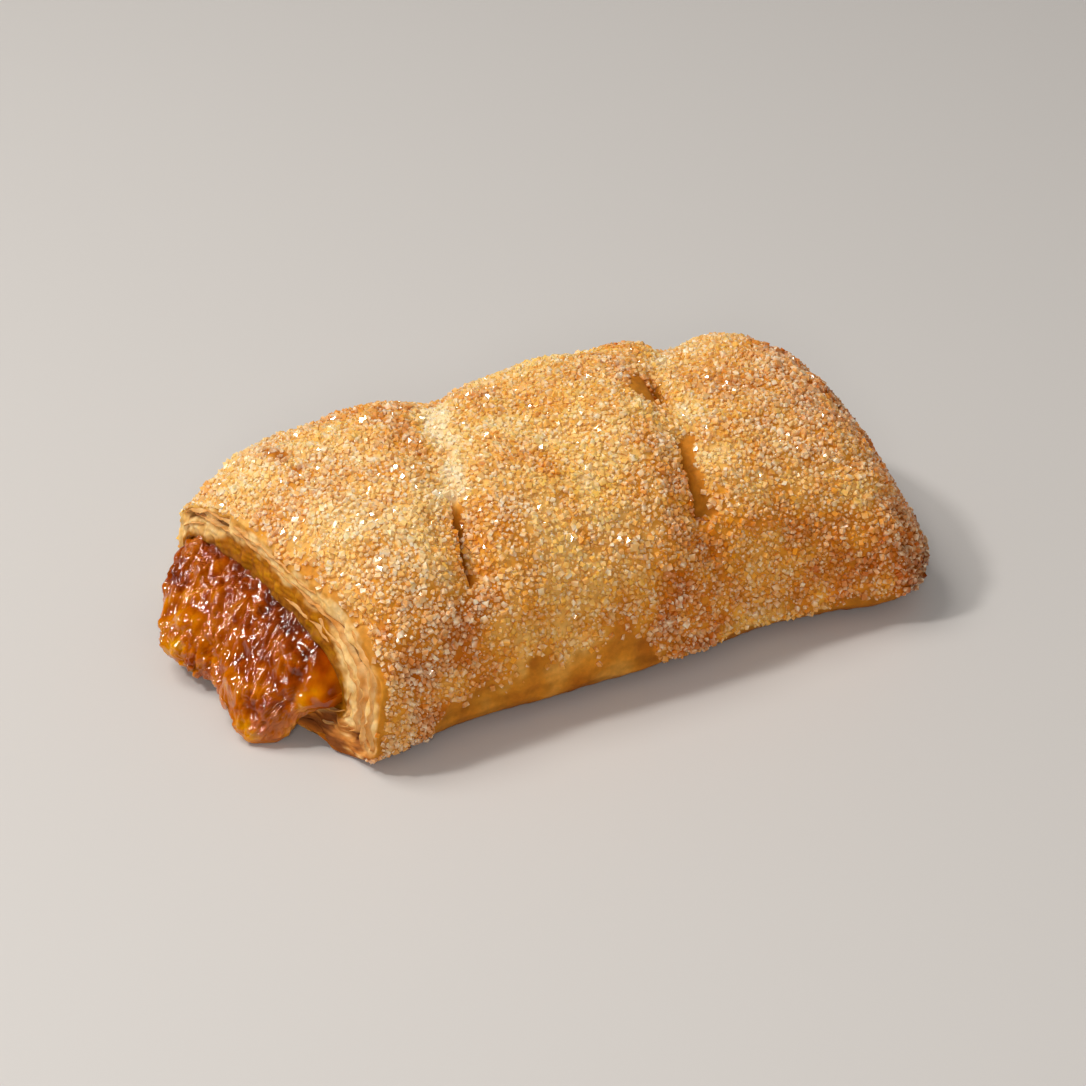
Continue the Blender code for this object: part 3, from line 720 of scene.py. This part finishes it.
def torn_layers(look):
    """Thin sheets of dough that stand out of the lip, with ragged edges."""
    points, faces, tints = [], [], []
    start = 0
    for n, (first, last, across_at, height, curl) in enumerate(LAYERS):
        run = np.linspace(0, 1, LAYER_STEPS)
        angle = np.radians(first + (last - first) * run)
        rim = outer_skin(np.zeros(LAYER_STEPS), angle)
        inner = section(np.zeros(LAYER_STEPS), angle, True)
        across = inner - rim
        wobble = across_at + 0.05 * noise(rim, 7.0, 400 + n) + 0.03 * noise(rim, 2.5, 420 + n)
        base = rim + across * wobble[:, None]
        across /= np.linalg.norm(across, axis=1, keepdims=True)
        ends = np.sqrt(np.clip(1 - np.abs(2 * run - 1) ** 3, 0, 1))
        ragged = 0.75 + 0.35 * noise(rim, 2.8, 440 + n) + 0.30 * noise(rim, 1.1, 460 + n)
        tall = height * ends * np.clip(ragged, 0.1, 1.5)
        rise = np.linspace(0, 1, LAYER_RISE)
        rise = np.concatenate([rise, rise[::-1]])
        side = np.where(np.arange(2 * LAYER_RISE) < LAYER_RISE, -0.5, 0.5) * LAYER_THICK * (1 - 0.65 * rise)
        out = tall[:, None] * rise[None, :] + (rise[None, :] - 1) * LAYER_ROOT + 0.25
        sway = side[None, :] + curl * (tall[:, None] * rise[None, :]) ** 2 * 0.6
        grid = base[:, None] + across[:, None] * sway[..., None] - np.array([1.0, 0, 0]) * out[..., None]
        grid = grid + 0.12 * noise(grid, 1.4, 480 + n)[..., None] * across[:, None]
        tips = np.stack([grid[0].mean(axis=0), grid[-1].mean(axis=0)])
        points.append(np.concatenate([grid.reshape(-1, 3), tips]))
        rows, cols = grid.shape[:2]
        faces.append(tube_faces(rows, cols, rows * cols, rows * cols + 1) + start)
        start += rows * cols + 2
        worn = 0.5 + 0.5 * noise(grid, 1.6, 500 + n)
        toward_tip = np.broadcast_to(rise ** 2, worn.shape) * 0.7
        colour = blend(ramp(worn, LAYER_CRUMB), ramp(worn, LAYER_TIP), toward_tip)
        tints.append(np.concatenate([colour.reshape(-1, 3), colour[0, :1], colour[-1, :1]]))
    marks = {"tint": np.concatenate(tints)}
    piece("torn_layers", np.concatenate(points), np.concatenate(faces), True, marks, look, "crust")


# Sugar

CRYSTAL_KINDS = 14
BURIED = 0.16             # height of a crystal's middle over the dough, as a share of its size
WHITE_SUGAR = np.array(linear(254, 233, 204))

# Each size of sugar: name, seed, number wanted, least distance, and its smallest and largest size
SUGARS = (
    ("sugar_coarse", 301, 13500, 0.76, 0.75, 1.40),
    ("sugar_fine", 302, 16000, 0.45, 0.32, 0.65),
)


def crystal_shapes(rng):
    """Blocky convex crystals about one unit across, as points and triangles."""
    shapes = []
    for _ in range(CRYSTAL_KINDS):
        bm = bmesh.new()
        for n in range(8):
            sign = np.array([1 if n >> b & 1 else -1 for b in range(3)])
            bm.verts.new(sign * rng.uniform(0.55, 1.0, 3) * 0.5)
        bmesh.ops.convex_hull(bm, input=bm.verts)
        spare = [v for v in bm.verts if not v.link_faces]
        bmesh.ops.delete(bm, geom=spare, context="VERTS")
        bmesh.ops.triangulate(bm, faces=bm.faces)
        bmesh.ops.recalc_face_normals(bm, faces=bm.faces)
        bm.verts.index_update()
        triangles = np.array([[v.index for v in f.verts] for f in bm.faces])
        shapes.append((np.array([v.co[:] for v in bm.verts]), triangles))
        bm.free()
    return shapes


def scatter(rng, points, faces, weight, wanted, spacing):
    """Seeded places on the skin, none nearer than the spacing: triangle and place in it."""
    a, b, c = (points[faces[:, n]] for n in range(3))
    area = 0.5 * np.linalg.norm(np.cross(b - a, c - a), axis=1)
    chance = area * weight
    tries = wanted * 4
    pick = rng.choice(len(faces), size=tries, p=chance / chance.sum())
    u, v = rng.random((2, tries))
    flip = u + v > 1
    u, v = np.where(flip, 1 - u, u), np.where(flip, 1 - v, v)
    place = a[pick] + (b - a)[pick] * u[:, None] + (c - a)[pick] * v[:, None]
    cells = {}
    kept = []
    near = [(i, j, k) for i in (-1, 0, 1) for j in (-1, 0, 1) for k in (-1, 0, 1)]
    keys = np.floor(place / spacing).astype(int)
    for n, (key, at) in enumerate(zip(map(tuple, keys.tolist()), place)):
        if len(kept) >= wanted:
            break
        clash = False
        for i, j, k in near:
            other = cells.get((key[0] + i, key[1] + j, key[2] + k))
            if other is not None and np.sum((place[other] - at) ** 2) < spacing ** 2:
                clash = True
                break
        if not clash:
            cells[key] = n
            kept.append(n)
    return pick[kept], place[kept]


def add_sugar(crust, look, name, seed, wanted, spacing, smallest, largest):
    """One joined mesh of crystals lying on the crust."""
    points, faces, normals, cover, tint = crust
    rng = np.random.default_rng(seed)
    shapes = crystal_shapes(rng)
    weight = np.clip(cover[faces].mean(axis=1), 0, 1) ** 1.3
    pick, place = scatter(rng, points, faces, weight, wanted, spacing)
    lift = normals[faces[pick, 0]]
    count = len(pick)
    size = smallest + (largest - smallest) * rng.random(count) ** 1.6
    stretch = rng.uniform(0.75, 1.25, (count, 3))
    kind = rng.integers(0, len(shapes), count)
    tip = lift + rng.normal(0, 0.45, (count, 3))
    tip /= np.linalg.norm(tip, axis=1, keepdims=True)
    side = np.cross(tip, rng.normal(size=(count, 3)))
    side /= np.linalg.norm(side, axis=1, keepdims=True)
    other = np.cross(tip, side)
    ground = tint[faces[pick, 0]]
    fresh = rng.random(count)
    # whiter by chance, in patches, on pale dough and near the mouth, and with a painted highlight where it
    # faces up
    pale = 0.06 + 0.22 * fresh ** 2 + 0.16 * ease(0.3, 0.95, lift[:, 2]) + 0.18 * rough(place, 9.0, 311, 2)
    pale = pale + 0.40 * ease(0.15, 0.36, ground[:, 2]) + 0.12 * ease(-25, -50, place[:, 0])
    all_points, all_faces, all_tints = [], [], []
    start = 0
    for k, (corner, tris) in enumerate(shapes):
        mine = np.nonzero(kind == k)[0]
        local = corner[None] * (stretch[mine] * size[mine][:, None])[:, None, :]
        turned = (local[..., 0:1] * side[mine][:, None] + local[..., 1:2] * other[mine][:, None]
                  + local[..., 2:3] * tip[mine][:, None])
        at = place[mine] + lift[mine] * (size[mine] * BURIED)[:, None]
        turned = turned + at[:, None]
        all_points.append(turned.reshape(-1, 3))
        offset = start + np.arange(len(mine))[:, None, None] * len(corner)
        all_faces.append((tris[None] + offset).reshape(-1, 3))
        # painted light: a crystal's corners run from the dough's colour, as seen through it, to white, and
        # the few whitest are painted glints
        clear = pale[mine][:, None] - 0.08 + 0.90 * rng.random((len(mine), len(corner))) ** 4
        under = np.broadcast_to((ground * [1.12, 1.0, 0.6])[mine][:, None], (*clear.shape, 3))
        share = np.clip(clear, 0, 1)[..., None] ** [1.0, 1.08, 1.35]
        all_tints.append((under + (WHITE_SUGAR - under) * share).reshape(-1, 3))
        start += len(mine) * len(corner)
    points = np.concatenate(all_points)
    points[:, 2] = np.maximum(points[:, 2], 0.0)
    tints = np.concatenate(all_tints)
    piece(name, points, np.concatenate(all_faces), False, {"tint": tints}, look, "crust")


# The filling

def cavity_side(x, y, over):
    """Height of the filling's room at a place in the plan: its ceiling, or its floor."""
    x, y = np.broadcast_arrays(np.asarray(x, float), np.asarray(y, float))
    gap = GAP + (ROOF_GAP * ease(-66, -46, x) if over else 1.5 * ease(-56, -40, x))
    share = np.clip((x - MOUTH_X) / LENGTH, 0, CAVITY_END)
    for _ in range(12):
        high, front, back, _, power, side_z, floor = frame_of(share, True)
        narrow, lower = closing(share, True)
        power = power if over else SECTION_FOOT
        side = (np.where(y < 0, front, back) - gap) * narrow
        c = np.sign(y) * np.clip(np.abs(y) / np.maximum(side, 1e-6), 0, 1) ** (1 / power)
        n = np.sqrt(np.maximum(1 - c * c, 0))
        angle = np.arctan2(n if over else -n, c)
        off = along_x(share, angle, y, True) - x
        share = np.clip(share - 0.5 * off / LENGTH, 0, CAVITY_END)
    if over:
        return side_z + (high - gap - side_z) * lower * n ** power
    return side_z - (side_z - floor - gap) * np.minimum(lower * n ** 0.55, 1)


def inner_end(y):
    """Where the filling ends inside, across the hollow."""
    shares = np.linspace(0, CAVITY_END, 600)
    frame_here = frame_of(shares, True)
    side = (np.where(y < 0, frame_here[1], frame_here[2]) - 1.3) * closing(shares, True)[0]
    tight = np.nonzero(side < abs(y) + 0.5 + 2.2 * ease(0.02, 0.10, shares))[0]
    last = shares[tight[0]] if len(tight) else CAVITY_END
    far = min(MOUTH_X + LENGTH * last - 4.0, FILL_END - 0.02 * y * y)
    return max(far, MOUTH_X + 5.0)


def lower_lip(y):
    """How far out the lower lip reaches at a place across."""
    reach = []
    for inside in (False, True):
        front, back = frame_of(np.array(0.0), inside)[1:3]
        c = np.sign(y) * np.clip(abs(y) / (front if y < 0 else back), 0, 1) ** (1 / SECTION_FOOT)
        angle = np.arctan2(-np.sqrt(1 - c * c), c)
        reach.append(float(along_x(np.array(0.0), angle, y, inside)))
    return min(reach)


def filling_profile(y):
    """Closed outline of the filling in the plane at y: ceiling, spill, nose, underside."""
    roof_points, bulge_points, nose_points, under_points = FILL_POINTS
    edge, edge_z, under_z = (float(curve_through(SPILL, k, y)) for k in range(1, 4))
    far = inner_end(y)
    lip = lower_lip(y)
    start = min(MOUTH_X + SLANT * float(np.clip(-y / 40, -1, 1)) + START_IN, far - 1.5)
    x_roof = far + (start - far) * np.linspace(0, 1, roof_points) ** 0.55
    roof = cavity_side(x_roof, y, True) - BACK_SAG * ease(2, 24, y) * ease(-40, MOUTH_X, x_roof)
    turn = np.linspace(0, math.pi / 2, bulge_points + 1)[1:]
    edge_z = min(edge_z, float(roof[-1]) - 0.4)
    x_bulge = start - (start - edge) * np.sin(turn) ** SLOPE
    z_bulge = edge_z + (roof[-1] - edge_z) * np.cos(turn) ** SLOPE
    place = np.stack([x_bulge, np.full(x_bulge.shape, y), z_bulge], -1)
    loose = np.sin(2 * turn) ** 0.7 * ease(36, 27, abs(y))
    swell = loose * (1.1 * lumps(place, 17.0, 1.3) + 0.7 * lumps(place, 8.0, 4.2))
    x_bulge = x_bulge - 0.5 * swell
    z_bulge = z_bulge + 0.8 * swell
    nose = np.linspace(0, math.pi / 2, nose_points + 1)[1:]
    deep = min(2.6, 0.5 * (edge_z - under_z) + 1.0)
    x_nose = edge + deep * (1 - np.cos(nose))
    z_nose = edge_z - (edge_z - under_z) * np.sin(nose)
    room = MOUTH_FLOOR + GAP + 0.1
    x_step = max(lip - 1.2, edge + deep + 0.4)
    z_step = max(under_z, 1.8 if x_step < lip - 1.0 else room)
    x_in = np.linspace(max(x_step + 1.2, start + 1.0), far, under_points + 1)[:-1]
    low = cavity_side(x_in, y, False)
    top = cavity_side(x_in, y, True)
    low = np.minimum(low, top - 0.3)
    x = np.concatenate([x_roof, x_bulge, x_nose, [x_step - 0.2, x_step], x_in])
    z = np.concatenate([roof, z_bulge, z_nose, [z_step, max(room, z_step)], low])
    return np.stack([x, np.full(x.shape, y), np.maximum(z, 0.0)], -1)


# The filling's width in front and behind, and its colours from pale to deep
FILL_FRONT = 30.1
FILL_BACK = 32.3
JELLY = (
    (0.0, linear(218, 144, 0)),
    (0.35, linear(190, 100, 0)),
    (0.7, linear(148, 60, 0)),
    (1.0, linear(96, 32, 0)),
)


# The strands' three ways, along and across, and their size each way
STRAND_WAYS = np.array([[0.62, 0.30, 0.73], [0.55, -0.83, 0.0], [0.60, 0.40, -0.68]])
STRAND_SIZES = np.array([2.6, 0.85, 0.95])


def make_filling(look):
    """The jelly: closed outlines side by side, with lumps and strands where it is free."""
    sides = np.linspace(-1, 1, FILL_SIDES)
    sides = np.sign(sides) * (1 - (1 - np.abs(sides)) ** 1.15)
    across = sides * np.where(sides < 0, FILL_FRONT, FILL_BACK)
    grid = np.array([filling_profile(y) for y in across])
    normal = grid_normals(grid)
    middle = len(across) // 2
    bulge = slice(FILL_POINTS[0], FILL_POINTS[0] + FILL_POINTS[1])
    if np.mean(normal[middle, bulge, 0]) > 0:
        normal = -normal
    from_side = np.minimum(across - across[0], across[-1] - across)
    free = ease(MOUTH_X + 3.0, MOUTH_X - 1.5, grid[..., 0])
    free = free * ease(0.3, 3.0, grid[..., 2]) * ease(0, 4, from_side)[:, None]
    # soft lumps of fruit, then short strands that run up and outwards
    lump = 0.75 * rough(grid, 6.0, 201, 2) + 0.50 * noise(grid, 3.0, 205) + 0.32 * noise(grid, 1.7, 207)
    strand = grid @ STRAND_WAYS.T / STRAND_SIZES
    fibres = 0.50 * noise(strand, 1.0, 211) + 0.36 * noise(strand * 1.9, 1.0, 213)
    fibres = fibres + 0.14 * noise(strand * 3.2, 1.0, 217)
    fibres = fibres * (0.25 + 1.15 * ease(-0.3, 0.2, noise(grid, 6.5, 215)))
    grid = grid + normal * ((lump + fibres) * free)[..., None]
    grid[..., 2] = np.maximum(grid[..., 2], 0.0)
    # deep in the mouth, paler at the thin edge, and paler at the right where soaked dough lies, partly
    # painted light that lifts the shade there
    deep = 0.58 + 0.36 * rough(grid, 6.0, 221) + 0.26 * noise(grid, 2.0, 223) - 0.22 * lump
    edge = ease(-71.0, -79.0, grid[..., 0])
    deep = deep - 0.35 * edge - 0.25 * ease(12, 3, grid[..., 2]) + 0.25 * ease(-69, -62, grid[..., 0])
    # painted light: paler where the lip shades the jelly at the right, also standing for soaked dough
    slab_and_painted_light = ease(-23, -26, grid[..., 1]) * ease(19, 13, grid[..., 2]) * ease(-72, -67, grid[..., 0])
    deep = deep - 0.50 * slab_and_painted_light + 0.22 * ease(12, 5, grid[..., 2])
    tint = ramp(np.clip(deep, 0, 1), JELLY)
    rows, cols = grid.shape[:2]
    tips = np.stack([grid[0].mean(axis=0), grid[-1].mean(axis=0)])
    points = np.concatenate([grid.reshape(-1, 3), tips])
    tints = np.concatenate([tint.reshape(-1, 3), tint[0, :1], tint[-1, :1]])
    faces = tube_faces(rows, cols, rows * cols, rows * cols + 1)
    piece("filling_jelly", points, faces, True, {"tint": tints}, look, "filling")


# Everything together

def make_crust(look):
    """The crust's skin, and its points, triangles, normals, sugar cover and colours."""
    grid, normal, bake_and_shade, bare, cover, inward, fold_shade = crust_grid()
    turn = np.broadcast_to(np.degrees(spread_angles(AROUND)), inward.shape)
    tint = crust_colours(grid, bake_and_shade, bare, inward, fold_shade, turn)
    rows, cols = grid.shape[:2]
    end = outer_skin(np.array([1.0]), np.array([math.pi / 2]))
    deep = section(np.array([CAVITY_END]), np.array([math.pi / 2]), True)
    points = np.concatenate([grid.reshape(-1, 3), end, deep])
    tints = np.concatenate([tint.reshape(-1, 3), tint[0, :1], tint[-1, :1]])
    faces = tube_faces(rows, cols, rows * cols, rows * cols + 1)
    piece("crust_skin", points, faces, True, {"tint": tints}, look, "crust")
    flat_normal = np.concatenate([normal.reshape(-1, 3), [[1, 0, 0]], [[-1, 0, 0]]])
    flat_cover = np.concatenate([cover.ravel(), cover[0, :1], [0.0]])
    return points, faces, flat_normal, flat_cover, tints


FLOOR_REACH = 3.0         # metres from the middle to each side
FLOOR_DROP = -0.0002      # keeps the floor just clear of the flat underside


def stage():
    """A plain pale floor."""
    sides = ((-1, -1), (1, -1), (1, 1), (-1, 1))
    corners = [(x * FLOOR_REACH, y * FLOOR_REACH, FLOOR_DROP) for x, y in sides]
    mesh = bpy.data.meshes.new("floor")
    mesh.from_pydata(corners, [], [(0, 1, 2, 3)])
    floor = bpy.data.objects.new("floor", mesh)
    bpy.context.scene.collection.objects.link(floor)
    mat, shader = new_look("pale_floor", 0.45)
    shader.inputs["Base Color"].default_value = (*linear(207, 203, 199), 1)
    mesh.materials.append(mat)


# Each light: name, place, what it aims at, width, power, colour, whether it lights matt
# surfaces, and whether it shows in the gloss. The sparks show in the gloss only.
PIE = (0, 0, 0.02)
MOUTH = (-0.04, 0, 0.02)
LIGHTS = (
    ("key", (-0.36, 0.44, 1.0), PIE, 0.5, 5.2, (1.0, 0.97, 0.93), True, False),
    ("glint", (-0.62, 0.26, 0.84), MOUTH, 0.12, 4.3, (1.0, 0.98, 0.95), True, True),
    ("spark_0", (-0.36, 0.44, 0.95), MOUTH, 0.10, 3.0, (1.0, 0.98, 0.95), False, True),
    ("spark_1", (-0.80, 0.12, 0.62), MOUTH, 0.10, 3.0, (1.0, 0.98, 0.95), False, True),
    ("spark_2", (-0.52, 0.62, 0.55), MOUTH, 0.10, 3.0, (1.0, 0.98, 0.95), False, True),
    ("fill", (-0.55, -0.90, 0.60), PIE, 0.3, 4.3, (1.0, 0.98, 0.96), True, False),
)


def area_light(name, at, aim, size, power, colour, lighting, mirrored):
    light = bpy.data.lights.new(name, "AREA")
    light.shape = "DISK"
    light.size = size
    light.energy = power
    light.color = colour
    obj = bpy.data.objects.new(name, light)
    bpy.context.scene.collection.objects.link(obj)
    obj.location = at
    obj.rotation_euler = (Vector(aim) - Vector(at)).to_track_quat("-Z", "Y").to_euler()
    obj.visible_diffuse = lighting
    obj.visible_glossy = mirrored


def lights():
    """A weak even surround, which doesn't show in the gloss, and the lights."""
    world = bpy.data.worlds.new("studio")
    bpy.context.scene.world = world
    world.use_nodes = True
    shade = world.node_tree.nodes["Background"]
    shade.inputs["Color"].default_value = (1.0, 0.98, 0.96, 1)
    shade.inputs["Strength"].default_value = 0.32
    world.cycles_visibility.glossy = False
    for row in LIGHTS:
        area_light(*row)


# The photograph's camera: turn and height in degrees, distance in millimetres, view in
# degrees, and in the photograph's own pixels its middle and the row where the middle of
# the pastry's underside lies
CAMERA_TURN = -29.4
CAMERA_HEIGHT = 30.7
CAMERA_DISTANCE = 700.0
CAMERA_VIEW = 18.0
PHOTO_MIDDLE = 543
UNDERSIDE_ROW = 590


def camera():
    azimuth = math.radians(CAMERA_TURN)
    height = math.radians(CAMERA_HEIGHT)
    field = math.radians(CAMERA_VIEW)
    flat = math.cos(height)
    back = Vector((math.sin(azimuth) * flat, -math.cos(azimuth) * flat, math.sin(height)))
    right = Vector((math.cos(azimuth), math.sin(azimuth), 0.0))
    up = back.cross(right)
    focal = PHOTO_MIDDLE / math.tan(field / 2)
    raised = (UNDERSIDE_ROW - PHOTO_MIDDLE) / focal * CAMERA_DISTANCE
    at = (back * CAMERA_DISTANCE + up * raised + Vector(SHIFT)) * MM
    data = bpy.data.cameras.new("camera")
    data.angle = field
    data.clip_start = 0.01
    data.clip_end = 20.0
    obj = bpy.data.objects.new("camera", data)
    bpy.context.scene.collection.objects.link(obj)
    obj.matrix_world = Matrix.Translation(at) @ Matrix((right, up, back)).transposed().to_4x4()
    bpy.context.scene.camera = obj


def main():
    bpy.context.scene.view_settings.view_transform = "Standard"
    dough = dough_look()
    crust = make_crust(dough)
    torn_layers(dough)
    make_filling(jelly_look())
    sugar = sugar_look()
    for row in SUGARS:
        add_sugar(crust, sugar, *row)
    stage()
    lights()
    camera()


main()
bpy.context.view_layer.update()
